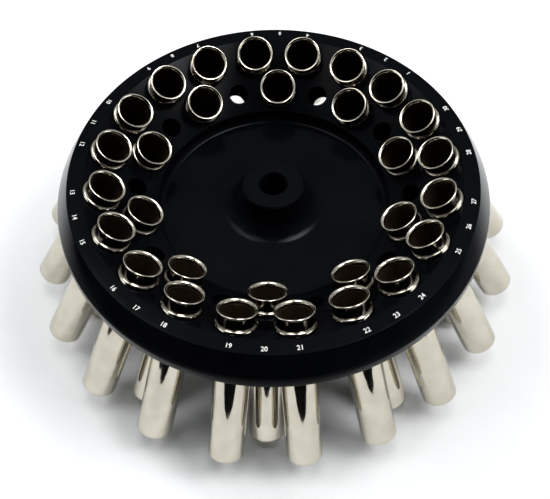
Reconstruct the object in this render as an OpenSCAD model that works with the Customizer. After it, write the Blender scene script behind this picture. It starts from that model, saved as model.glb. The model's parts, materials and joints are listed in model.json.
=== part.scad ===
// Fixed-angle rotor: a dark turned dish that carries thirty closed metal sleeves.
// The sleeves stand in ten groups of three, two in the outer ring and one in the
// inner ring, all leaning by the same angle with their mouths towards the shaft.
// Millimetres. +Z is up and is the axis of the shaft bore. The rotor stands on the
// lower ends of its sleeves at Z = 0.

/* [Dish] */
// Outer diameter of the dish at its upright lower wall
dish_d = 240; // [236:1:260]
// Width of the sloping flank, from the wall in to the flat rim
flank_width = 7.5; // [5:0.5:10]
// Lean of the outer flank from the vertical, in degrees
flank_angle = 30; // [20:1:35]
// Radius that blends the flank into the upright wall
flank_blend = 5; // [1:0.5:8]
// Height of the wall below the flank
wall_height = 7; // [5:0.5:12]
// Width of the flat rim that carries the position numbers
rim_width = 8.5; // [7:0.5:11]
// Depth of the flat floor below the rim
floor_depth = 30; // [27:0.5:33]
// From the inner seat circle in to the upright step round the floor
step_inset = 11; // [10:0.5:14]
// Radius in the corner between the floor and the step
step_fillet = 3; // [1:0.5:4]
// Height from the flat rim down to the flat underside
body_depth = 43.5; // [40:0.5:50]
// Width of the small bevels on the turned edges
edge_bevel = 0.8; // [0.3:0.1:1.2]

/* [Hub] */
// Diameter of the hub's flat top
hub_d = 35; // [30:1:40]
// Height of the hub above the floor
hub_rise = 20; // [16:0.5:26]
// Radius of the sweep from the hub down into the floor
hub_fillet = 12; // [6:0.5:14]
// Diameter of the bore for the drive shaft
bore_d = 15; // [10:0.5:20]
// Width of the slot under the hub that takes the shaft's cross pin
slot_w = 5; // [3:0.5:8]
// Depth of that slot
slot_depth = 6; // [3:0.5:10]
// Length of that slot
slot_length = 36; // [30:1:60]

/* [Seats] */
// Lean of the sleeves from the vertical and slope of the seat cone, in degrees
seat_angle = 30; // [26:1:34]
// Number of groups of three sleeves
group_count = 10; // [8:1:12]
// Direction of the middle sleeve of the first group, in degrees from +X
first_angle = 54; // [0:1:359]
// From the inner edge of the flat rim in to the outer seat circle
seat_inset = 9.5; // [8.5:0.5:11]
// Between the outer and the inner seat circle, seen from above
circle_spacing = 18; // [17:0.5:21]
// Radial play between a sleeve and its bore
seat_gap = 0.15; // [0.05:0.05:0.4]
// Depth of the flat face cut into the cone for each collar
seat_sink = 0.3; // [0.2:0.1:1]
// Radial margin of that flat face round the collar
seat_margin = 0.4; // [0.2:0.1:0.8]
// Width of the bevel at the lower end of each bore
bore_bevel = 0.8; // [0.4:0.1:1.5]
// Diameter of the open holes between the inner seats
vent_d = 11.5; // [6:0.5:14]

/* [Sleeves] */
// Outer diameter of a sleeve's tube
sleeve_od = 19.2; // [18:0.1:20]
// Thickness of the drawn wall
sleeve_wall = 0.8; // [0.5:0.1:1.2]
// Length of a sleeve from its mouth to its closed end
sleeve_length = 90; // [70:0.5:120]
// Height of the mouth above the seat
sleeve_stand = 10; // [7:0.5:16]
// Outside corner radius of the closed end
end_radius = 3; // [2:0.5:6]
// How far the lip at the mouth turns out beyond the tube
lip_bend = 0.9; // [0.7:0.1:1.2]
// How far the collar that rests on the seat stands out beyond the tube
collar_round = 1.3; // [1:0.1:1.6]
// Height of the collar
collar_h = 2.6; // [2.2:0.1:4]
// Radius of the collar's lower edge
collar_edge = 0.4; // [0.1:0.1:0.6]

/* [Hidden] */
$fn = 96;
arc_steps = 6;
overcut = 3;
sleeves_per_group = 3;
sleeve_count = group_count * sleeves_per_group;
group_step = 360 / group_count;
outer_offset = group_step / 4;

dish_r = dish_d / 2;
rim_r = dish_r - flank_width;
mouth_r = rim_r - rim_width;
outer_r = mouth_r - seat_inset;
inner_r = outer_r - circle_spacing;
step_r = inner_r - step_inset;
hub_r = hub_d / 2;
bore_r = bore_d / 2;
tube_r = sleeve_od / 2;
tube_bore_r = tube_r - sleeve_wall;
lip_r = tube_r + lip_bend;
collar_r = tube_r + collar_round;
seat_bore_r = tube_r + seat_gap;

// Heights below the rim plane
flank_drop = flank_width / tan(flank_angle);
wall_drop = flank_drop + wall_height;
blend_run = flank_blend * tan(flank_angle / 2);
hub_top_drop = floor_depth - hub_rise;
underside_r = dish_r - (body_depth - wall_drop) / tan(seat_angle);
// Thickness of the dish between the seat cone and the underside cone
cone_wall = wall_drop * cos(seat_angle) + (dish_r - mouth_r) * sin(seat_angle);

// Drop of the seat cone below the rim at radius r
function cone_drop(r) = (mouth_r - r) * tan(seat_angle);

// Depth below the rim that the closed end of a sleeve at seat radius r reaches
function end_depth(r) =
    cone_drop(r) + seat_sink * cos(seat_angle)
    + (tube_r - end_radius) * sin(seat_angle)
    + (sleeve_length - sleeve_stand - end_radius) * cos(seat_angle)
    + end_radius;

// Height of the rim plane above the surface that the rotor stands on
rim_z = max(end_depth(inner_r), end_depth(outer_r));

// Points on an arc in the profile plane, from angle a0 to angle a1
function arc(x, z, r, a0, a1) =
    [for (i = [0:arc_steps])
        let (a = a0 + (a1 - a0) * i / arc_steps)
        [x + r * cos(a), z + r * sin(a)]];

function sleeve_name(n) = str("sleeve_", n < 10 ? "0" : "", n);
// Place of sleeve n within its group: 0 and 2 are outer, 1 is inner
function place_in_group(n) = (n - 1) % sleeves_per_group;
function is_inner(n) = place_in_group(n) == 1;
function seat_radius(n) = is_inner(n) ? inner_r : outer_r;
function seat_direction(n) =
    first_angle + floor((n - 1) / sleeves_per_group) * group_step
    + (place_in_group(n) - 1) * outer_offset;

// Moves children to a point on the seat cone, with +Z out of the cone
module on_cone(r, direction) {
    rotate([0, 0, direction])
        translate([r, 0, rim_z - cone_drop(r)])
            rotate([0, -seat_angle, 0])
                children();
}

// Half section of the turned dish, with Z measured from the rim plane
module dish_profile() {
    polygon(concat(
        [[bore_r, -body_depth],
         [underside_r, -body_depth],
         [dish_r - edge_bevel, -wall_drop - edge_bevel * tan(seat_angle)],
         [dish_r, -wall_drop + edge_bevel]],
        arc(dish_r - flank_blend, -flank_drop - blend_run, flank_blend, 0, flank_angle),
        [[rim_r, 0],
         [mouth_r, 0],
         [step_r, -cone_drop(step_r)]],
        arc(step_r - step_fillet, -floor_depth + step_fillet, step_fillet, 0, -90),
        arc(hub_r + hub_fillet, -floor_depth + hub_fillet, hub_fillet, 270, 180),
        [[hub_r, -hub_top_drop - edge_bevel],
         [hub_r - edge_bevel, -hub_top_drop],
         [bore_r + edge_bevel, -hub_top_drop],
         [bore_r, -hub_top_drop - edge_bevel]]
    ));
}

// Bore and flat face for one sleeve, cut along the sleeve's own axis
module seat_cut() {
    translate([0, 0, -2 * body_depth])
        cylinder(h = 2 * body_depth + overcut, r = seat_bore_r);
    translate([0, 0, -seat_sink])
        cylinder(h = seat_sink + overcut, r = collar_r + seat_margin);
    lower_end_bevel(seat_bore_r);
}

// Bevel where a bore of radius r comes out of the underside cone
module lower_end_bevel(r) {
    translate([0, 0, -cone_wall - overcut])
        cylinder(
            h = bore_bevel + overcut,
            r1 = r + bore_bevel + overcut,
            r2 = r
        );
}

// Open hole between two inner seats, square to the cone
module vent_cut() {
    translate([0, 0, -2 * body_depth])
        cylinder(h = 2 * body_depth + overcut, d = vent_d);
}

// Slot across the underside for the cross pin of the drive shaft
module drive_slot_cut() {
    translate([-slot_length / 2, -slot_w / 2, rim_z - body_depth - overcut])
        cube([slot_length, slot_w, slot_depth + overcut]);
}

module rotor_body() {
    color([0.06, 0.065, 0.075])
        difference() {
            translate([0, 0, rim_z])
                rotate_extrude()
                    dish_profile();
            for (n = [1:sleeve_count])
                on_cone(seat_radius(n), seat_direction(n))
                    seat_cut();
            for (g = [0:group_count - 1])
                on_cone(inner_r, first_angle + (g + 0.5) * group_step)
                    vent_cut();
            drive_slot_cut();
        }
}

// Half section of a sleeve, with Z measured from the underside of its collar
module sleeve_profile() {
    tip = sleeve_stand - sleeve_length;
    bend_z = sleeve_stand - lip_bend - sleeve_wall;
    inner_corner = end_radius - sleeve_wall;
    polygon(concat(
        [[0, tip]],
        arc(tube_r - end_radius, tip + end_radius, end_radius, -90, 0),
        [[tube_r, 0]],
        arc(collar_r - collar_edge, collar_edge, collar_edge, -90, 0),
        arc(tube_r, collar_h - collar_round, collar_round, 0, 90),
        arc(lip_r, bend_z, lip_bend, 180, 90),
        arc(lip_r, bend_z, lip_bend + sleeve_wall, 90, 180),
        arc(tube_r - end_radius, tip + end_radius, inner_corner, 0, -90),
        [[0, tip + sleeve_wall]]
    ));
}

// One deep-drawn sleeve with its rolled lip, its collar and its closed end
module sleeve(n) {
    color([0.82, 0.8, 0.76])
        on_cone(seat_radius(n), seat_direction(n))
            translate([0, 0, -seat_sink])
                rotate_extrude()
                    sleeve_profile();
}

rotor_body();
for (n = [1:sleeve_count])
    sleeve(n);
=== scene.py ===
# %% [markdown]
# # A fixed-angle rotor, dressed for the camera
# The real thing is a dish turned from one block of aluminium and anodised black.
# Thirty closed sleeves of nickel-plated sheet hang in it by their collars, leaning
# thirty degrees, in ten groups of three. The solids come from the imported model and
# never move. This lesson gives them their finish: it turns a finer skin for the
# dish, draws the sleeves with rounded lips, numbers the rim, and sets up a small
# studio of pale paper, soft boxes and a tent that the polished parts mirror.

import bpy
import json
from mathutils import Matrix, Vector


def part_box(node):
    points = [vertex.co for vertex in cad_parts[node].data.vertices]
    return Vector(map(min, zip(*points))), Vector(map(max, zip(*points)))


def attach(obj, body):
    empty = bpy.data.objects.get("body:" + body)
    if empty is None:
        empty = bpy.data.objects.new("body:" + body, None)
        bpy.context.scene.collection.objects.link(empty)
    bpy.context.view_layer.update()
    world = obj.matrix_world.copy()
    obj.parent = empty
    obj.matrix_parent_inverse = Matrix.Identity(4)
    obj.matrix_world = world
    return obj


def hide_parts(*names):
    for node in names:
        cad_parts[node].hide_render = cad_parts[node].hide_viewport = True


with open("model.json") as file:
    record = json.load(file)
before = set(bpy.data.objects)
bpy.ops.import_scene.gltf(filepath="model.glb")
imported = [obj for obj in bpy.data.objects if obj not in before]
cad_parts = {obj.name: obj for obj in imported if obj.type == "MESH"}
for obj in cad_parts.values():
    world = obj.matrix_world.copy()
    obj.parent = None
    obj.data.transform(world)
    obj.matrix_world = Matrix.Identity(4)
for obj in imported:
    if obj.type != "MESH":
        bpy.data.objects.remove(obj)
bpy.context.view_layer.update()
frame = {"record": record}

import json
import math

import bpy
import numpy as np
from mathutils import Matrix, Vector

# %% [markdown]
# ## The sizes that the looks need
# A maker works from one sheet of sizes. Here they are in millimetres, measured from
# the plane of the flat rim, as a turner would, because every cut in the dish is set
# from that plane. The places of the sleeves are not repeated: each bore in the
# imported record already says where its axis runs.

# %% Sizes of the dish and its sleeves
MM = 0.001
RIM_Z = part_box("rotor_body")[1].z
DISH_R = 120.0
RIM_R = 112.5
MOUTH_R = 104.0
STEP_R = 65.5
FLOOR_DROP = 30.0
BODY_DEPTH = 43.5
HUB_R = 17.5
HUB_TOP_DROP = 10.0
BORE_R = 7.5
SEAT_TILT = math.radians(30)
CONE_SLOPE = math.tan(SEAT_TILT)
FLANK_DROP = (DISH_R - RIM_R) / CONE_SLOPE
WALL_HEIGHT = 7.0
WALL_DROP = FLANK_DROP + WALL_HEIGHT
UNDERSIDE_R = DISH_R - (BODY_DEPTH - WALL_DROP) / CONE_SLOPE
BEVEL = 0.8
INNER_SEAT_R = 76.5
VENT_R = 5.75
SEAT_BORE_R = 9.75
SEAT_FACE_R = 11.3
SEAT_SINK = 0.3
SLOT_LONG, SLOT_WIDE, SLOT_DEEP = 36.0, 5.0, 6.0
GROUPS = 10
FIRST_ANGLE = 54.0

TUBE_R = 9.6
WALL = 0.8
COLLAR_R = 10.9
COLLAR_H = 2.6
LIP_R = 10.5
STAND = 10.0
SLEEVE_L = 90.0
END_R = 3.0

bores = [m for m in frame["record"]["mounts"] if m["name"].startswith("tube_")]
print("rim plane at", round(RIM_Z / MM, 3), "mm, sleeves:", len(bores))

# %% [markdown]
# ## Outlines with broken edges
# No machined edge is perfectly sharp: a turner breaks it with a file or a small
# radius, and that radius is what catches a thin line of light. So every corner of
# an outline gives way to an arc. Chamfering by modifier could do it too, but in the
# outline it costs nothing and stays clean under the later cuts.

# %% Round the corners of an outline
def rounded_outline(corners, radii, closed, widest_step=7.5):
    """Each corner gives way to an arc that touches both of its sides. The arc starts
    at radius / tan(half the corner's angle) from the corner, its middle lies on the
    bisector at radius / sin(half the angle), and it is walked in equal steps."""
    p = np.asarray(corners, float)
    r = np.asarray(radii, float)
    back = np.roll(p, 1, 0) - p
    ahead = np.roll(p, -1, 0) - p
    back /= np.linalg.norm(back, axis=1)[:, None]
    ahead /= np.linalg.norm(ahead, axis=1)[:, None]
    half = np.arccos(np.clip((back * ahead).sum(1), -1, 1)) / 2
    bisector = back + ahead
    bisector /= np.linalg.norm(bisector, axis=1)[:, None]
    middle = p + bisector * (r / np.sin(half))[:, None]
    start = p + back * (r / np.tan(half))[:, None] - middle
    end = p + ahead * (r / np.tan(half))[:, None] - middle
    a0 = np.arctan2(start[:, 1], start[:, 0])
    turn = (np.arctan2(end[:, 1], end[:, 0]) - a0 + np.pi) % (2 * np.pi) - np.pi
    steps = np.maximum(np.ceil(np.degrees(np.abs(turn)) / widest_step), 3).astype(int)
    which = np.repeat(np.arange(len(p)), steps + 1)
    first = np.cumsum(steps + 1) - (steps + 1)
    share = (np.arange(len(which)) - first[which]) / steps[which]
    angle = a0[which] + turn[which] * share
    walk = np.stack([np.cos(angle), np.sin(angle)], 1) * r[which][:, None]
    points = middle[which] + walk
    if not closed:
        points = np.vstack([p[:1], points[which > 0], p[-1:]])
        keep = np.concatenate([[True], which[which > 0] < len(p) - 1, [True]])
        points = points[keep]
    return points


dish_corners = [
    (BORE_R, -BODY_DEPTH),
    (UNDERSIDE_R, -BODY_DEPTH),
    (DISH_R - BEVEL, -WALL_DROP - BEVEL * CONE_SLOPE),
    (DISH_R, -WALL_DROP + BEVEL),
    (DISH_R, -FLANK_DROP),
    (RIM_R, 0.0),
    (MOUTH_R, 0.0),
    (STEP_R, -(MOUTH_R - STEP_R) * CONE_SLOPE),
    (STEP_R, -FLOOR_DROP),
    (HUB_R, -FLOOR_DROP),
    (HUB_R, -HUB_TOP_DROP - BEVEL),
    (HUB_R - BEVEL, -HUB_TOP_DROP),
    (BORE_R + BEVEL, -HUB_TOP_DROP),
    (BORE_R, -HUB_TOP_DROP - BEVEL),
]
dish_radii = [0.3, 2.0, 0.2, 0.2, 5.0, 0.35, 0.3, 0.4, 3.0, 12.0, 0.15, 0.15, 0.15, 0.15]
dish_outline = rounded_outline(dish_corners, dish_radii, closed=True)
print("dish outline:", len(dish_outline), "points")

# %% [markdown]
# ## Turning an outline
# A lathe makes a surface of two parameters: how far along the outline, and how far
# round. The grid below is worked out as whole arrays. Outlines that start and end
# on the axis, such as a sleeve's, are closed with a fan at each pole, so that the
# solid has no pinhole. The same grid gives a map: round the axis across, and
# millimetres along the outline upwards, for finishes that follow the drawing.

# %% Turn an outline about the Z axis
V_PER_MM = 0.01


def turned(outline, steps, closed):
    """Point (i, j) is (r_i cos a_j, r_i sin a_j, z_i), with a_j in equal steps round
    the axis. Faces join neighbouring points, and a pole is one point with a fan."""
    outline = np.asarray(outline, float)
    poles = [] if closed else [outline[0], outline[-1]]
    rows = outline if closed else outline[1:-1]
    a = np.arange(steps) * 2 * np.pi / steps
    ring = np.stack([np.cos(a), np.sin(a)], 1)
    xy = rows[:, :1, None] * ring[None]
    z = np.broadcast_to(rows[:, 1][:, None, None], (len(rows), steps, 1))
    points = np.concatenate([xy, z], 2).reshape(-1, 3)
    i = np.arange(len(rows) if closed else len(rows) - 1)[:, None]
    j = np.arange(steps)[None]
    i2 = (i + 1) % len(rows)
    j2 = (j + 1) % steps
    quads = np.stack(
        [i * steps + j, i * steps + j2, i2 * steps + j2, i2 * steps + j], -1
    ).reshape(-1, 4)
    run = np.concatenate([[0], np.cumsum(np.linalg.norm(np.diff(outline, axis=0), axis=1))])
    rise = run if closed else run[1:-1]
    rise2 = np.append(rise[1:], rise[-1] + 1.0) if closed else rise[1:]
    u = np.stack([j, j + 1, j + 1, j], -1) / steps
    u = np.broadcast_to(u, (len(i), steps, 4))
    v = np.stack([rise[: len(i)], rise[: len(i)], rise2[: len(i)], rise2[: len(i)]], -1)
    v = np.broadcast_to(v[:, None], (len(i), steps, 4))
    uv = np.stack([u, v * V_PER_MM], -1).reshape(-1, 2)
    fans = np.zeros((0, 3), int)
    if poles:
        points = np.vstack([points, [[0, 0, poles[0][1]], [0, 0, poles[1][1]]]])
        js = np.arange(steps)
        low = np.stack([np.full(steps, len(points) - 2), (js + 1) % steps, js], 1)
        top = (len(rows) - 1) * steps
        high = np.stack(
            [np.full(steps, len(points) - 1), top + js, top + (js + 1) % steps], 1
        )
        fans = np.vstack([low, high])
        side = np.stack([js + 0.5, js + 1, js], 1) / steps
        side2 = np.stack([js + 0.5, js, js + 1], 1) / steps
        v_low = np.tile([0.0, rise[0], rise[0]], (steps, 1))
        v_high = np.tile([run[-1], rise[-1], rise[-1]], (steps, 1))
        fan_uv = np.stack(
            [np.vstack([side, side2]), np.vstack([v_low, v_high]) * V_PER_MM], -1
        )
        uv = np.vstack([uv, fan_uv.reshape(-1, 2)])
    return points * MM, quads, fans, uv


def mesh_of(name, points, quads, fans=(), uv=None, sharp=30.0):
    """A mesh from arrays, smooth but for edges that turn by more than sharp degrees."""
    mesh = bpy.data.meshes.new(name)
    mesh.from_pydata(points.tolist(), [], np.asarray(quads).tolist() + np.asarray(fans).tolist())
    if uv is not None:
        layer = mesh.uv_layers.new(name="drawn")
        layer.uv.foreach_set("vector", np.asarray(uv, np.float32).ravel())
    mesh.polygons.foreach_set("use_smooth", np.ones(len(mesh.polygons), bool))
    mesh.set_sharp_from_angle(angle=math.radians(sharp))
    mesh.update()
    mesh.validate()
    return mesh


def shown(name, mesh):
    """A new object at the origin that shows the mesh."""
    piece = bpy.data.objects.new(name, mesh)
    bpy.context.scene.collection.objects.link(piece)
    return piece


def volume(mesh):
    """Sum over triangles of a . (b x c) / 6: positive when the faces point out."""
    mesh.calc_loop_triangles()
    corner = np.zeros(len(mesh.loop_triangles) * 3, np.int32)
    mesh.loop_triangles.foreach_get("vertices", corner)
    co = np.zeros(len(mesh.vertices) * 3, np.float32)
    mesh.vertices.foreach_get("co", co)
    t = co.reshape(-1, 3).astype(float)[corner.reshape(-1, 3)]
    return float(np.einsum("ij,ij->", t[:, 0], np.cross(t[:, 1], t[:, 2])) / 6)


# %% [markdown]
# ## The dish
# The blank is turned first. Then the seats and the ten open holes are bored square
# to the cone, as on the real machine, by taking a set of cutters away from it. The
# bores could be left out, as the sleeves hide them, but the small flat face round
# each collar and the gap round each tube are what makes a sleeve look seated.

# %% Turn the blank
ROUND_STEPS = 480
outline = dish_outline + np.array([0.0, RIM_Z / MM])
points, quads, _, _ = turned(outline, ROUND_STEPS, closed=True)
blank_mesh = mesh_of("dish_blank", points, quads)
blank = shown("dish_blank", blank_mesh)
print("blank:", len(quads), "faces,", round(volume(blank_mesh) * 1e6, 1), "cm3")

# %% Place the cutters
def placed(points, origin, axis):
    """Turns +Z to the axis about the line square to both, then moves to the origin."""
    turn = Vector((0, 0, 1)).rotation_difference(Vector(axis)).to_matrix()
    return points @ np.array(turn).T + np.asarray(origin)


def seat_place(bore):
    """A seat's middle: the point where the bore's axis meets the seat cone, whose
    height at radius r is RIM_Z - (MOUTH_R - r) * CONE_SLOPE."""
    p = np.array(bore["pos_m"], float)
    a = np.array(bore["axis"], float)
    radius = np.hypot(*p[:2])
    out = np.array([p[0] / radius, p[1] / radius, 0.0])
    gap = RIM_Z - (MOUTH_R * MM - radius) * CONE_SLOPE - p[2]
    lean = -float(a @ out)
    t = gap / (a[2] + lean * CONE_SLOPE)
    return p + a * t, a


CUT_LOW, CUT_HIGH = -60.0, 6.0
seat_cut = [(0, CUT_LOW), (SEAT_BORE_R, CUT_LOW), (SEAT_BORE_R, -SEAT_SINK)]
seat_cut += [(SEAT_FACE_R, -SEAT_SINK), (SEAT_FACE_R, CUT_HIGH), (0, CUT_HIGH)]
vent_cut = [(0, CUT_LOW), (VENT_R, CUT_LOW), (VENT_R, CUT_HIGH), (0, CUT_HIGH)]
seats = [seat_place(b) for b in bores]
first_seat = seats[0][0] / MM
print("first seat:", np.round(first_seat, 3), "radius", round(float(np.hypot(*first_seat[:2])), 3))

# %% [markdown]
# ## Drilling
# All the cutters are one mesh, so that the blank is cut once: thirty seat drills with
# a wider flat face, ten drills for the open holes half-way between the groups, and
# one block for the drive slot below. The cutters carry the second material place, so
# the walls that they leave can have a finish of their own. The dish has two places.

# %% Take the cutters away from the blank
def joined(name, solids):
    """One mesh of several separate solids, each (points, quads, fans)."""
    starts = np.cumsum([0] + [len(s[0]) for s in solids])[:-1]
    points = np.vstack([s[0] for s in solids])
    quads = np.vstack([s[1] + k for s, k in zip(solids, starts)])
    fans = np.vstack([s[2] + k for s, k in zip(solids, starts)])
    return mesh_of(name, points, quads, fans)


BORE_STEPS = 96
cutters = []
p, q, f, _ = turned(seat_cut, BORE_STEPS, closed=False)
for place, axis in seats:
    cutters.append((placed(p, place, axis), q, f))
step = 360 / GROUPS
turns = np.radians(FIRST_ANGLE + step * (np.arange(GROUPS) + 0.5))
vent_z = RIM_Z / MM - (MOUTH_R - INNER_SEAT_R) * CONE_SLOPE
p, q, f, _ = turned(vent_cut, BORE_STEPS, closed=False)
for t in turns:
    place = np.array([INNER_SEAT_R * math.cos(t), INNER_SEAT_R * math.sin(t), vent_z]) * MM
    inward = -math.sin(SEAT_TILT)
    axis = (inward * math.cos(t), inward * math.sin(t), math.cos(SEAT_TILT))
    cutters.append((placed(p, place, axis), q, f))
box_points = np.array([(x, y, z) for x in (-1, 1) for y in (-1, 1) for z in (-1, 1)], float)
box_points *= [SLOT_LONG / 2, SLOT_WIDE / 2, SLOT_DEEP]
box_points[:, 2] += RIM_Z / MM - BODY_DEPTH
box_quads = np.array(
    [(0, 1, 3, 2), (4, 6, 7, 5), (0, 4, 5, 1), (2, 3, 7, 6), (0, 2, 6, 4), (1, 5, 7, 3)]
)
cutters.append((box_points * MM, box_quads, np.zeros((0, 3), int)))
cutter = shown("cutters", joined("cutters", cutters))
cutter.data.polygons.foreach_set("material_index", np.ones(len(cutter.data.polygons), np.int32))
for mesh in (blank_mesh, cutter.data):
    mesh.materials.append(None)
    mesh.materials.append(None)
print("cutters:", len(cutters), "volume", round(volume(cutter.data) * 1e6, 1), "cm3")

cut = blank.modifiers.new("bore the seats", "BOOLEAN")
cut.operation = "DIFFERENCE"
cut.solver = "MANIFOLD"
cut.object = cutter
depsgraph = bpy.context.evaluated_depsgraph_get()
dish_mesh = bpy.data.meshes.new_from_object(blank.evaluated_get(depsgraph), depsgraph=depsgraph)
dish_mesh.name = "dish"
dish_mesh.set_sharp_from_angle(angle=math.radians(25))
dish = shown("dish", dish_mesh)
bpy.data.objects.remove(blank)
bpy.data.objects.remove(cutter)
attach(dish, "root")
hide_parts("rotor_body")
print("dish:", len(dish_mesh.polygons), "faces,", round(volume(dish_mesh) * 1e6, 2), "cm3")

# %% [markdown]
# ## The sleeves
# Each sleeve is drawn from sheet: a straight tube with a closed end, a collar that
# stands on the seat, and a lip turned out at the mouth. One outline carries all of
# it, outside first and then back down the bore. It is turned once and set at every
# seat, so thirty pieces share one shape but each has its place in its own mesh.

# %% Outline of a sleeve
TIP = STAND - SLEEVE_L
COLLAR_EDGE_R = 0.4
COLLAR_END = 84
NECK_START = COLLAR_H + 0.1


def arc(middle, radius, start, end, widest_step=9.0):
    """Points middle + radius (cos a, sin a), with a from start to end in degrees."""
    steps = max(int(math.ceil(abs(end - start) / widest_step)), 2)
    a = np.radians(np.linspace(start, end, steps + 1))
    return np.asarray(middle) + radius * np.stack([np.cos(a), np.sin(a)], 1)


lip_z = STAND - (LIP_R - TUBE_R) - WALL
lip_end = math.degrees(math.acos(-WALL / 2 / (LIP_R - TUBE_R + WALL / 2)))
lip_mid = LIP_R - TUBE_R + WALL / 2
cap = np.array([LIP_R, lip_z]) + lip_mid * np.array(
    [math.cos(math.radians(lip_end)), math.sin(math.radians(lip_end))]
)
sleeve_outline = np.vstack(
    [
        [(0.0, TIP)],
        arc((TUBE_R - END_R, TIP + END_R), END_R, -90, 0),
        [(TUBE_R, -40.0), (TUBE_R, -0.1), (TUBE_R + 0.1, 0.0)],
        arc((COLLAR_R - COLLAR_EDGE_R, COLLAR_EDGE_R), COLLAR_EDGE_R, -90, 0),
        arc((TUBE_R, COLLAR_H - (COLLAR_R - TUBE_R)), COLLAR_R - TUBE_R, 0, COLLAR_END),
        [(TUBE_R, NECK_START)],
        arc((LIP_R, lip_z), LIP_R - TUBE_R, 180, lip_end),
        arc(cap, WALL / 2, lip_end - 180, lip_end)[1:-1],
        arc((LIP_R, lip_z), LIP_R - TUBE_R + WALL, lip_end, 180),
        [(TUBE_R - WALL, -20.0)],
        arc((TUBE_R - END_R, TIP + END_R), END_R - WALL, 0, -90),
        [(0.0, TIP + WALL)],
    ]
)
print("sleeve outline:", len(sleeve_outline), "points, lip ends at", round(lip_end, 1), "degrees")

# %% Set a sleeve in every seat
SLEEVE_STEPS = 96
points, quads, fans, uv = turned(sleeve_outline, SLEEVE_STEPS, closed=False)
along = np.cumsum(np.linalg.norm(np.diff(sleeve_outline, axis=0), axis=1))
LIP_V = along[int(np.argmax(sleeve_outline[1:, 0] + sleeve_outline[1:, 1]))] * V_PER_MM
neck = int(np.argmin(np.abs(sleeve_outline - [TUBE_R, NECK_START]).sum(1)))
NECK_V = (along[neck - 1] + along[neck]) / 2 * V_PER_MM
NECK_LONG = lip_z - COLLAR_H
print("on the map: neck at", round(float(NECK_V), 4), "lip at", round(float(LIP_V), 4))
sleeves = []
for bore, (place, axis) in zip(bores, seats):
    number = bore["name"][-2:]
    seat = place - axis * SEAT_SINK * MM
    mesh = mesh_of("drawn_sleeve_" + number, placed(points, seat, axis), quads, fans, uv)
    sleeve = shown("drawn_sleeve_" + number, mesh)
    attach(sleeve, "root")
    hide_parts("sleeve_" + number)
    sleeves.append(sleeve)
print("sleeves:", len(sleeves), "each", len(quads) * 2 + len(fans), "triangles,",
      round(volume(sleeves[0].data) * 1e9, 1), "mm3")

# %% [markdown]
# ## The position numbers
# The rim carries a number for each place, cut with a small engraver and filled with
# white paint. They stand upright for a reader outside the rotor. Type is set as a
# text curve, made into a mesh, narrowed to the proportions of engraver's type, and
# only then laid on the rim, each with its top towards the shaft.

# %% Number the rim
NUMBER_R = 109.1
NUMBER_H = 2.6
TYPE_WIDTH = 0.97
STROKE_GAIN = 0.008
STROKE_DEEP = 0.002
PAINT_LIFT = 0.004


def number_mesh(text):
    """A number as a mesh in millimetres, its middle at zero and its digits one unit
    of NUMBER_H high: the curve's own box gives the scale."""
    curve = bpy.data.curves.new("type_" + text, "FONT")
    curve.body = text
    curve.size = 1.0
    curve.offset = STROKE_GAIN
    curve.extrude = STROKE_DEEP
    curve.resolution_u = 4
    setter = bpy.data.objects.new("type_" + text, curve)
    bpy.context.scene.collection.objects.link(setter)
    graph = bpy.context.evaluated_depsgraph_get()
    mesh = bpy.data.meshes.new_from_object(setter.evaluated_get(graph), depsgraph=graph)
    bpy.data.objects.remove(setter)
    co = np.zeros(len(mesh.vertices) * 3, np.float32)
    mesh.vertices.foreach_get("co", co)
    co = co.reshape(-1, 3).astype(float)
    low, high = co.min(0), co.max(0)
    size = high - low
    co = (co - (low + high) / 2) * (NUMBER_H / size[1])
    co[:, 0] *= TYPE_WIDTH
    faces = [tuple(face.vertices) for face in mesh.polygons]
    bpy.data.meshes.remove(mesh)
    return co, faces


all_points = []
all_faces = []
count = 0
for bore in bores:
    place = int(bore["name"][-2:])
    a = math.atan2(bore["pos_m"][1], bore["pos_m"][0])
    co, faces = number_mesh(str(place))
    out = np.array([math.cos(a), math.sin(a), 0.0])
    across = np.array([-math.sin(a), math.cos(a), 0.0])
    spot = out * NUMBER_R + np.array([0, 0, RIM_Z / MM + PAINT_LIFT])
    all_points.append(spot + co[:, :1] * across - co[:, 1:2] * out + co[:, 2:] * [0, 0, 1.0])
    all_faces += [[v + count for v in face] for face in faces]
    count += len(co)
number_piece_mesh = bpy.data.meshes.new("position_numbers")
number_piece_mesh.from_pydata((np.vstack(all_points) * MM).tolist(), [], all_faces)
number_piece_mesh.update()
numbers = shown("position_numbers", number_piece_mesh)
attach(numbers, "root")
print("numbers:", len(bores), "of", NUMBER_H, "mm,", len(all_faces), "faces")

# %% [markdown]
# ## Finishes
# Every finish starts from the real material and how its surface was made. One small
# function adds a shader node with its settings and links, colour ramps included, and
# one turns the hex colours of a paint card to the linear values that light adds up in.

# %% Helpers for finishes
def linear(hex_colour):
    """Each sRGB channel c becomes c / 12.92 if small, or else ((c + 0.055) / 1.055) ** 2.4."""
    c = np.array([int(hex_colour[k : k + 2], 16) for k in (1, 3, 5)]) / 255
    c = np.where(c <= 0.04045, c / 12.92, ((c + 0.055) / 1.055) ** 2.4)
    return (*c.tolist(), 1.0)


def finish(name):
    """A new material and its node tree, emptied."""
    material = bpy.data.materials.new(name)
    material.use_nodes = True
    tree = material.node_tree
    tree.nodes.clear()
    return material, tree


def socket(sockets, key):
    """A socket by its number, its name, or the identifier that tells twins apart."""
    named = [one for one in sockets if one.identifier == key]
    return named[0] if named else sockets[key]


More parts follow.
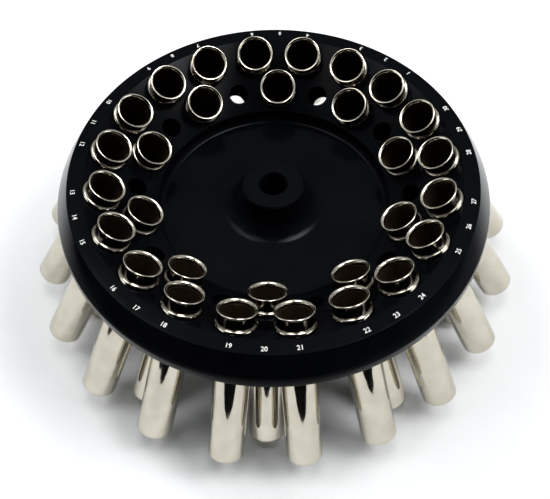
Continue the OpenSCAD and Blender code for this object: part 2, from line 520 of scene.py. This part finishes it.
def add(tree, kind, settings=None, links=None):
    """Adds one node. Settings name its properties or inputs, or the two stops of a
    colour ramp as (place, colour); links name its inputs."""
    made = tree.nodes.new(kind)
    for key, value in (settings or {}).items():
        if key == "stops":
            for stop, (place, colour) in zip(made.color_ramp.elements, value):
                stop.position = place
                stop.color = colour
        elif isinstance(key, str) and hasattr(made, key):
            setattr(made, key, value)
        else:
            socket(made.inputs, key).default_value = value
    for key, source in (links or {}).items():
        tree.links.new(source, socket(made.inputs, key))
    return made


def dress(piece, material):
    """The piece wears this one material."""
    piece.data.materials.clear()
    piece.data.materials.append(material)


# %% [markdown]
# ## Black anodised aluminium
# The dish is turned, then anodised and dyed black. The film is a clear oxide over a
# dark dye, so it shines like satin glass and shows almost no metal: the eye sees
# near black, a soft reflection that grows at a glancing angle, and very fine rings
# from the turning tool. Real rings lie 0.1 mm apart, too fine to show, so they are
# drawn 0.5 mm apart and very shallow. A real film keeps some shine face on. Here most
# of it is taken away there, by mixing towards the bare dye, because the flat faces
# have to stay near black while the flank and the wall shine.

# %% Anodised finish
RING_PITCH = 0.5 * MM
CLOUD_SIZE = 22 * MM
FACE_ON_SHINE = 0.12
SHINE_FROM, SHINE_FULL = 0.53, 0.75

anodised, tree = finish("black_anodised_turned_aluminium")
place = add(tree, "ShaderNodeTexCoord").outputs["Object"]
split = add(tree, "ShaderNodeSeparateXYZ", links={"Vector": place})
flat = add(tree, "ShaderNodeCombineXYZ", links={"X": split.outputs["X"], "Y": split.outputs["Y"]})
radius = add(
    tree, "ShaderNodeVectorMath", {"operation": "LENGTH"}, {0: flat.outputs["Vector"]}
)
turning = add(
    tree,
    "ShaderNodeCombineXYZ",
    links={"X": radius.outputs["Value"], "Y": split.outputs["Z"]},
)
rings = add(
    tree,
    "ShaderNodeTexNoise",
    {"noise_dimensions": "2D", "Scale": 1 / RING_PITCH, "Detail": 2.0, "Roughness": 0.5},
    {"Vector": turning.outputs["Vector"]},
)
cloud = add(
    tree,
    "ShaderNodeTexNoise",
    {"Scale": 1 / CLOUD_SIZE, "Detail": 3.0, "Roughness": 0.55},
    {"Vector": place},
)
dye = add(
    tree,
    "ShaderNodeValToRGB",
    {"stops": [(0.30, linear("#040507")), (0.70, linear("#07080b"))]},
    {"Fac": cloud.outputs["Fac"]},
).outputs["Color"]
satin = add(
    tree,
    "ShaderNodeMapRange",
    {"From Min": 0.3, "From Max": 0.7, "To Min": 0.12, "To Max": 0.16},
    {"Value": cloud.outputs["Fac"]},
)
grooves = add(
    tree,
    "ShaderNodeBump",
    {"Strength": 0.10, "Distance": 0.02 * MM},
    {"Height": rings.outputs["Fac"]},
)
film = add(
    tree,
    "ShaderNodeBsdfPrincipled",
    {"Metallic": 0.0, "IOR": 1.45, "Specular IOR Level": 0.26},
    {
        "Base Color": dye,
        "Roughness": satin.outputs["Result"],
        "Normal": grooves.outputs["Normal"],
    },
)
dyed = add(
    tree,
    "ShaderNodeBsdfPrincipled",
    {"Metallic": 0.0, "IOR": 1.45, "Specular IOR Level": 0.0, "Roughness": 0.6},
    {"Base Color": dye, "Normal": grooves.outputs["Normal"]},
)
facing = add(tree, "ShaderNodeLayerWeight", {"Blend": 0.5}).outputs["Facing"]
glance = add(
    tree,
    "ShaderNodeMapRange",
    {
        "interpolation_type": "SMOOTHSTEP",
        "From Min": SHINE_FROM,
        "From Max": SHINE_FULL,
        "To Min": FACE_ON_SHINE,
        "To Max": 1.0,
    },
    {"Value": facing},
)
body = add(
    tree,
    "ShaderNodeMixShader",
    links={0: glance.outputs["Result"], 1: dyed.outputs["BSDF"], 2: film.outputs["BSDF"]},
)
add(tree, "ShaderNodeOutputMaterial", links={"Surface": body.outputs["Shader"]})
dish.data.materials[0] = anodised
print("finish:", anodised.name)

# %% [markdown]
# ## The bored holes
# A drill leaves the walls of the holes rougher than the turned faces, and the dye
# takes deeper there. So the holes drink the light: a dull black with no shine and
# fine uneven marks.

# %% Finish of the bored walls
bored, tree = finish("black_anodised_bored_wall")
place = add(tree, "ShaderNodeTexCoord").outputs["Object"]
marks = add(
    tree,
    "ShaderNodeTexNoise",
    {"Scale": 1 / (1.2 * MM), "Detail": 2.0},
    {"Vector": place},
)
dye = add(
    tree,
    "ShaderNodeValToRGB",
    {"stops": [(0.3, linear("#040506")), (0.7, linear("#08090b"))]},
    {"Fac": marks.outputs["Fac"]},
).outputs["Color"]
chatter = add(
    tree,
    "ShaderNodeBump",
    {"Strength": 0.2, "Distance": 0.03 * MM},
    {"Height": marks.outputs["Fac"]},
)
body = add(
    tree,
    "ShaderNodeBsdfPrincipled",
    {"Metallic": 0.0, "IOR": 1.45, "Roughness": 0.6, "Specular IOR Level": 0.0},
    {"Base Color": dye, "Normal": chatter.outputs["Normal"]},
)
add(tree, "ShaderNodeOutputMaterial", links={"Surface": body.outputs["BSDF"]})
dish.data.materials[1] = bored
wall_faces = np.zeros(len(dish.data.polygons), np.int32)
dish.data.polygons.foreach_get("material_index", wall_faces)
print("finish:", bored.name, "on", int((wall_faces == 1).sum()), "faces")

# %% [markdown]
# ## Bright nickel on drawn sheet
# The sleeves are deep drawn, polished and nickel plated. Nickel is a warm, light
# grey mirror. Drawing leaves faint lines along the tube and polishing leaves a
# slight ripple, which bends the edges of what the metal mirrors. Inside, the plate
# is thinner and duller, and its brown colour is a painted warm reflection. The neck
# between collar and lip is painted dark brown, a painted dark reflection of what the
# neck mirrors; it is drawn as a band on the map that runs along the outline, because
# it holds from every side. That may be tarnish or only what the neck mirrors; it is
# drawn as a stain, a band on the map that runs along the outline, because it holds
# from every side.

# %% Nickel finish
LINES_ACROSS_ALONG = (110.0, 1.2, 1.0)
RIPPLE_SIZE = 9 * MM
DULL_GAIN = 0.35
# How dark the painted neck reflection is, and how soft its ends are.
PAINTED_NECK_REFLECTION_DEPTH = 0.8
PAINTED_NECK_REFLECTION_EDGE = 1.4
INSIDE_FROM, INSIDE_FULL = 1.2, 4.5

nickel, tree = finish("polished_nickel_plated_sheet")
drawn = add(tree, "ShaderNodeTexCoord").outputs["UV"]
lines_at = add(tree, "ShaderNodeMapping", {"Scale": LINES_ACROSS_ALONG}, {"Vector": drawn})
lines = add(
    tree,
    "ShaderNodeTexNoise",
    {"noise_dimensions": "2D", "Scale": 1.0, "Detail": 2.0},
    {"Vector": lines_at.outputs["Vector"]},
)
place = add(tree, "ShaderNodeTexCoord").outputs["Object"]
ripple = add(
    tree,
    "ShaderNodeTexNoise",
    {"Scale": 1 / RIPPLE_SIZE, "Detail": 1.0, "Roughness": 0.4},
    {"Vector": place},
)
tone = add(
    tree,
    "ShaderNodeValToRGB",
    {"stops": [(0.35, linear("#bfb9aa")), (0.65, linear("#c8c2b4"))]},
    {"Fac": ripple.outputs["Fac"]},
).outputs["Color"]
polish = add(
    tree,
    "ShaderNodeMapRange",
    {"From Min": 0.3, "From Max": 0.7, "To Min": 0.03, "To Max": 0.07},
    {"Value": lines.outputs["Fac"]},
)
fine = add(
    tree,
    "ShaderNodeBump",
    {"Strength": 0.04, "Distance": 0.02 * MM},
    {"Height": lines.outputs["Fac"]},
)
wave = add(
    tree,
    "ShaderNodeBump",
    {"Strength": 0.10, "Distance": 0.4 * MM},
    {"Height": ripple.outputs["Fac"], "Normal": fine.outputs["Normal"]},
)
height = add(tree, "ShaderNodeSeparateXYZ", links={"Vector": drawn}).outputs["Y"]
inside = add(
    tree,
    "ShaderNodeMapRange",
    {
        "From Min": LIP_V + INSIDE_FROM * V_PER_MM,
        "From Max": LIP_V + INSIDE_FULL * V_PER_MM,
        "To Min": 0.0,
        "To Max": 1.0,
    },
    {"Value": height},
)
from_neck = add(tree, "ShaderNodeMath", {"operation": "SUBTRACT", 1: NECK_V}, {0: height})
away = add(tree, "ShaderNodeMath", {"operation": "ABSOLUTE"}, {0: from_neck.outputs["Value"]})
# Painted dark reflection: a band over the neck, full depth in the middle, fading at its ends.
painted_neck_reflection = add(
    tree,
    "ShaderNodeMapRange",
    {
        "From Min": NECK_LONG / 2 * V_PER_MM,
        "From Max": (NECK_LONG / 2 + PAINTED_NECK_REFLECTION_EDGE) * V_PER_MM,
        "To Min": PAINTED_NECK_REFLECTION_DEPTH,
        "To Max": 0.0,
    },
    {"Value": away.outputs["Value"]},
)
# The nickel tone darkened to dark brown by the painted neck reflection.
tone_with_painted_neck_reflection = add(
    tree,
    "ShaderNodeMix",
    {"data_type": "RGBA", "B_Color": linear("#40352a")},
    {"Factor": painted_neck_reflection.outputs["Result"], "A_Color": tone},
)
# Inside the sleeve: a brown that is a painted warm reflection; the duller finish is the thinner
# plate.
skin = add(
    tree,
    "ShaderNodeMix",
    {"data_type": "RGBA", "B_Color": linear("#6b5a48")},
    {"Factor": inside.outputs["Result"], "A_Color": socket(tone_with_painted_neck_reflection.outputs, "Result_Color")},
)
dull = add(
    tree,
    "ShaderNodeMath",
    {"operation": "MULTIPLY_ADD", 1: DULL_GAIN},
    {0: inside.outputs["Result"], 2: polish.outputs["Result"]},
)
body = add(
    tree,
    "ShaderNodeBsdfPrincipled",
    {"Metallic": 1.0},
    {
        "Base Color": socket(skin.outputs, "Result_Color"),
        "Roughness": dull.outputs["Value"],
        "Normal": wave.outputs["Normal"],
    },
)
add(tree, "ShaderNodeOutputMaterial", links={"Surface": body.outputs["BSDF"]})
for sleeve in sleeves:
    dress(sleeve, nickel)
print("finish:", nickel.name)

# %% [markdown]
# ## White filling paint
# The numbers are filled with a matt white enamel. It is a little uneven, as paint
# wiped into a cut is, so its white varies slightly over each number.

# %% Paint finish
paint, tree = finish("white_filling_enamel")
place = add(tree, "ShaderNodeTexCoord").outputs["Object"]
wiped = add(
    tree,
    "ShaderNodeTexNoise",
    {"Scale": 1 / (0.8 * MM), "Detail": 2.0},
    {"Vector": place},
)
white = add(
    tree,
    "ShaderNodeValToRGB",
    {"stops": [(0.3, linear("#d8d9d6")), (0.6, linear("#f4f4f1"))]},
    {"Fac": wiped.outputs["Fac"]},
).outputs["Color"]
body = add(
    tree,
    "ShaderNodeBsdfPrincipled",
    {"Roughness": 0.55, "IOR": 1.5},
    {"Base Color": white},
)
add(tree, "ShaderNodeOutputMaterial", links={"Surface": body.outputs["BSDF"]})
dress(numbers, paint)
print("finish:", paint.name)

# %% [markdown]
# ## The paper
# Polished metal shows nothing but its surroundings, so the studio is part of the
# look. The rotor stands on a wide sheet of white paper. It has no gloss, so it takes
# soft shadows between the sleeves and gives the sleeves a pale world to mirror.

# %% Pale floor
PAPER_HALF = 3.2
half = PAPER_HALF
floor_mesh = bpy.data.meshes.new("paper_floor")
floor_mesh.from_pydata(
    [(-half, -half, 0), (half, -half, 0), (half, half, 0), (-half, half, 0)], [], [(0, 1, 2, 3)]
)
floor = shown("paper_floor", floor_mesh)
paper, tree = finish("matt_white_paper")
place = add(tree, "ShaderNodeTexCoord").outputs["Object"]
fibre = add(
    tree, "ShaderNodeTexNoise", {"Scale": 1 / (60 * MM), "Detail": 4.0}, {"Vector": place}
)
shade = add(
    tree,
    "ShaderNodeValToRGB",
    {"stops": [(0.3, linear("#f2f3f4")), (0.7, linear("#f6f7f8"))]},
    {"Fac": fibre.outputs["Fac"]},
).outputs["Color"]
body = add(
    tree,
    "ShaderNodeBsdfPrincipled",
    {"Roughness": 0.9, "Specular IOR Level": 0.2},
    {"Base Color": shade},
)
add(tree, "ShaderNodeOutputMaterial", links={"Surface": body.outputs["BSDF"]})
dress(floor, paper)
print("paper:", 2 * PAPER_HALF, "m wide")

# %% [markdown]
# ## The tent
# What the lips, collars and black film mirror from above is a dome that only
# reflections see, so it can be set without changing the shadows. Each panel is a
# patch of the dome with soft edges. A low band and a mid band light the curl of the
# lips from behind, the crown lights their tops, two low panels at the sides make the
# crescents on the collars, and four strong patches high at the sides are there for
# the soft highlights at the foot of the hub. The front of the dome stays dark.

# %% Tent that only reflections see
TENT_R = 2.4
TENT_BELOW = -0.02
TENT_CROWN = np.pi / 2 - 0.03
PANEL_EDGE = 6.0
# bearing from the back, height, half width and half height in degrees, then strength
PANELS = [
    (0, 8, 100, 16, 0.35),
    (0, 24, 118, 12, 0.25),
    (5, 54, 125, 20, 0.75),
    (10, 61, 60, 9, 0.6),
    (0, 84, 180, 14, 0.6),
    (-106, 5, 16, 12, 3.2),
    (108, 5, 16, 12, 4.0),
    (58, 71, 26, 8, 24.0),
    (-56, 66, 24, 8, 8.0),
    (78, 77, 40, 8, 14.0),
    (-80, 76, 40, 8, 5.0),
]


def tent_grid(round_steps, up_steps):
    """A dome: azimuth a and elevation e give TENT_R (cos e cos a, cos e sin a, sin e)."""
    a = np.linspace(0, 2 * np.pi, round_steps + 1)[:-1][None]
    e = np.linspace(TENT_BELOW, TENT_CROWN, up_steps + 1)[:, None]
    flat = np.cos(e)
    xyz = np.stack(np.broadcast_arrays(flat * np.cos(a), flat * np.sin(a), np.sin(e)), -1)
    points = np.vstack([xyz.reshape(-1, 3) * TENT_R, [[0, 0, TENT_R]]])
    i = np.arange(up_steps)[:, None] * round_steps
    j = np.arange(round_steps)[None]
    j2 = (j + 1) % round_steps
    quads = np.stack([i + j, i + round_steps + j, i + round_steps + j2, i + j2], -1)
    js = np.arange(round_steps) + up_steps * round_steps
    js2 = (np.arange(round_steps) + 1) % round_steps + up_steps * round_steps
    fans = np.stack([js, np.full(round_steps, len(points) - 1), js2], 1)
    return points, quads.reshape(-1, 4), fans


def only_mirrored(piece):
    """Reflections see the piece; the camera, shadows and soft light don't."""
    piece.visible_camera = False
    piece.visible_diffuse = False
    piece.visible_transmission = False
    piece.visible_volume_scatter = False
    piece.visible_shadow = False


def panel(dome, bearing, height, wide, tall, level, soft=PANEL_EDGE):
    """Light on the dome from one soft-edged panel: level inside, nought outside, and
    a smooth step soft degrees wide at each edge. Bearings run from the back."""
    x, y, z = dome.T / np.linalg.norm(dome, axis=1)
    b = (np.degrees(np.arctan2(x, y)) - bearing + 180) % 360 - 180
    h = np.degrees(np.arcsin(z)) - height
    step = np.clip((np.stack([wide - np.abs(b), tall - np.abs(h)]) / soft + 1) / 2, 0, 1)
    return level * np.prod(step * step * (3 - 2 * step), axis=0)


points, quads, fans = tent_grid(120, 44)
tent_mesh = mesh_of("mirror_tent", points, quads, fans)
light = sum(panel(points, *row) for row in PANELS)
glow_layer = tent_mesh.attributes.new("glow", "FLOAT", "POINT")
glow_layer.data.foreach_set("value", light.astype(np.float32))
tent = shown("mirror_tent", tent_mesh)
only_mirrored(tent)

lining, tree = finish("tent_lining")
place = add(tree, "ShaderNodeTexCoord").outputs["Object"]
weave = add(
    tree, "ShaderNodeTexNoise", {"Scale": 1 / (300 * MM), "Detail": 2.0}, {"Vector": place}
)
cloth = add(
    tree,
    "ShaderNodeMapRange",
    {"From Min": 0.3, "From Max": 0.7, "To Min": 0.92, "To Max": 1.0},
    {"Value": weave.outputs["Fac"]},
)
lit = add(tree, "ShaderNodeAttribute", {"attribute_name": "glow"})
level = add(
    tree,
    "ShaderNodeMath",
    {"operation": "MULTIPLY"},
    {0: lit.outputs["Fac"], 1: cloth.outputs["Result"]},
)
glow = add(
    tree,
    "ShaderNodeEmission",
    {"Color": linear("#fbfdff")},
    {"Strength": level.outputs["Value"]},
)
add(tree, "ShaderNodeOutputMaterial", links={"Surface": glow.outputs["Emission"]})
lining.cycles.emission_sampling = "NONE"
dress(tent, lining)
print("tent:", len(PANELS), "panels, strongest point", round(float(light.max()), 2))

# %% [markdown]
# ## Black cards
# A glossy black flank turns grey wherever it mirrors white paper. In a studio, black
# cards are laid down where that should stop, and the edge of a card is what makes the
# flank fall from pale at the back to black at the front. One card stands in front and
# two lie on the paper at the sides. Only reflections see them.

# %% Black cards round the paper
PAPER_LEFT = -0.32
PAPER_RIGHT = 0.38
PAPER_FRONT = -0.44
CARD_REACH = 2.3
CARD_HEIGHT = 0.9
CARD_LIFT = 1.0 * MM
x0, x1, y0 = PAPER_LEFT, PAPER_RIGHT, PAPER_FRONT
far = CARD_REACH
low = CARD_LIFT
flag_mesh = bpy.data.meshes.new("front_flag")
flag_mesh.from_pydata(
    [
        *[(x0, y0, low), (x1, y0, low), (x1, y0, CARD_HEIGHT), (x0, y0, CARD_HEIGHT)],
        *[(x0, -far, low), (x0, far, low), (-far, far, low), (-far, -far, low)],
        *[(x1, far, low), (x1, -far, low), (far, -far, low), (far, far, low)],
    ],
    [],
    [(0, 1, 2, 3), (4, 5, 6, 7), (8, 9, 10, 11)],
)
flag = shown("front_flag", flag_mesh)
only_mirrored(flag)
felt, tree = finish("black_felt")
place = add(tree, "ShaderNodeTexCoord").outputs["Object"]
nap = add(tree, "ShaderNodeTexNoise", {"Scale": 1 / (4 * MM)}, {"Vector": place})
tint = add(
    tree,
    "ShaderNodeValToRGB",
    {"stops": [(0.3, linear("#0a0a0a")), (0.7, linear("#121212"))]},
    {"Fac": nap.outputs["Fac"]},
).outputs["Color"]
body = add(tree, "ShaderNodeBsdfDiffuse", links={"Color": tint})
add(tree, "ShaderNodeOutputMaterial", links={"Surface": body.outputs["BSDF"]})
dress(flag, felt)
print("cards at", PAPER_LEFT, PAPER_RIGHT, PAPER_FRONT, "m")

# %% [markdown]
# ## Soft boxes
# Six soft boxes two metres away light the paper and the sleeves: the strongest from
# the back left and the right, which leaves the shadows in front of and under the
# dish. The metal doesn't mirror them, as the tent does that. The sky is faint and
# blue-green, so the deepest shadows are cool instead of black.

# %% Soft boxes and sky
LAMP_DISTANCE = 2.0
# name, bearing from the back and height in degrees, size in metres, watts
SOFT_BOXES = [
    ("box_right_high", 90, 52, (0.8, 0.8), 19.0),
    ("box_right_low", 90, 22, (0.8, 0.8), 10.0),
    ("box_left_high", -90, 52, (0.8, 0.8), 10.0),
    ("box_left_back", -45, 37, (0.8, 1.4), 22.0),
    ("box_right_back", 45, 52, (0.8, 0.8), 8.0),
    ("box_top", 0, 88, (0.8, 0.8), 10.5),
]


def soft_box(name, bearing, height, size, watts):
    """A rectangle of light two metres away, at a bearing from the back and a height
    angle in degrees, turned to face the rotor. Reflections don't see it."""
    b, h = math.radians(bearing), math.radians(height)
    away = Vector((math.sin(b) * math.cos(h), math.cos(b) * math.cos(h), math.sin(h)))
    light = bpy.data.lights.new(name, "AREA")
    light.shape = "RECTANGLE"
    light.size, light.size_y = size
    light.energy = watts
    lamp = bpy.data.objects.new(name, light)
    lamp.location = away * LAMP_DISTANCE
    lamp.rotation_euler = (-away).to_track_quat("-Z", "Y").to_euler()
    lamp.visible_glossy = False
    bpy.context.scene.collection.objects.link(lamp)


for row in SOFT_BOXES:
    soft_box(*row)

world = bpy.data.worlds.new("pale_room")
bpy.context.scene.world = world
world.use_nodes = True
tree = world.node_tree
tree.nodes.clear()
sky = add(tree, "ShaderNodeBackground", {"Color": linear("#c4eeff"), "Strength": 0.045})
add(tree, "ShaderNodeOutputWorld", links={"Surface": sky.outputs["Background"]})
bpy.context.scene.view_settings.view_transform = "Standard"
bpy.context.scene.view_settings.look = "None"
print("lights:", len(SOFT_BOXES), "watts in all", sum(row[-1] for row in SOFT_BOXES))

# %% [markdown]
# ## The camera
# The camera looks down on the rotor from the front at about 56 degrees and stands
# close, half a metre away, which is why the front sleeves look longer than the
# others. It is placed by its aim point, its bearing, its height angle and its
# distance, and then rolled by one degree, as a hand-held camera is.

# %% Place the camera
AIM = np.array([3.03, -51.23, RIM_Z / MM]) * MM
BEARING = math.radians(3.165)
HEIGHT = math.radians(55.73)
ROLL = math.radians(-1.24)
DISTANCE = 474.0 * MM
PICTURE_WIDTH = 550
FOCAL_PIXELS = 919.7

back = np.array(
    [
        math.sin(BEARING) * math.cos(HEIGHT),
        -math.cos(BEARING) * math.cos(HEIGHT),
        math.sin(HEIGHT),
    ]
)
right = np.cross(-back, [0, 0, 1.0])
right /= np.linalg.norm(right)
up = np.cross(right, -back)
rolled_right = math.cos(ROLL) * right + math.sin(ROLL) * up
rolled_up = -math.sin(ROLL) * right + math.cos(ROLL) * up
eye = AIM + back * DISTANCE

lens = bpy.data.cameras.new("studio_camera")
lens.sensor_width = 36.0
lens.lens = FOCAL_PIXELS / PICTURE_WIDTH * lens.sensor_width
lens.clip_start = 0.01
lens.clip_end = 20.0
camera = bpy.data.objects.new("studio_camera", lens)
pose = np.eye(4)
pose[:3, 0] = rolled_right
pose[:3, 1] = rolled_up
pose[:3, 2] = back
pose[:3, 3] = eye
camera.matrix_world = Matrix(pose.tolist())
bpy.context.scene.collection.objects.link(camera)
bpy.context.scene.camera = camera
print("camera at", np.round(eye, 4), "lens", round(lens.lens, 2), "mm")
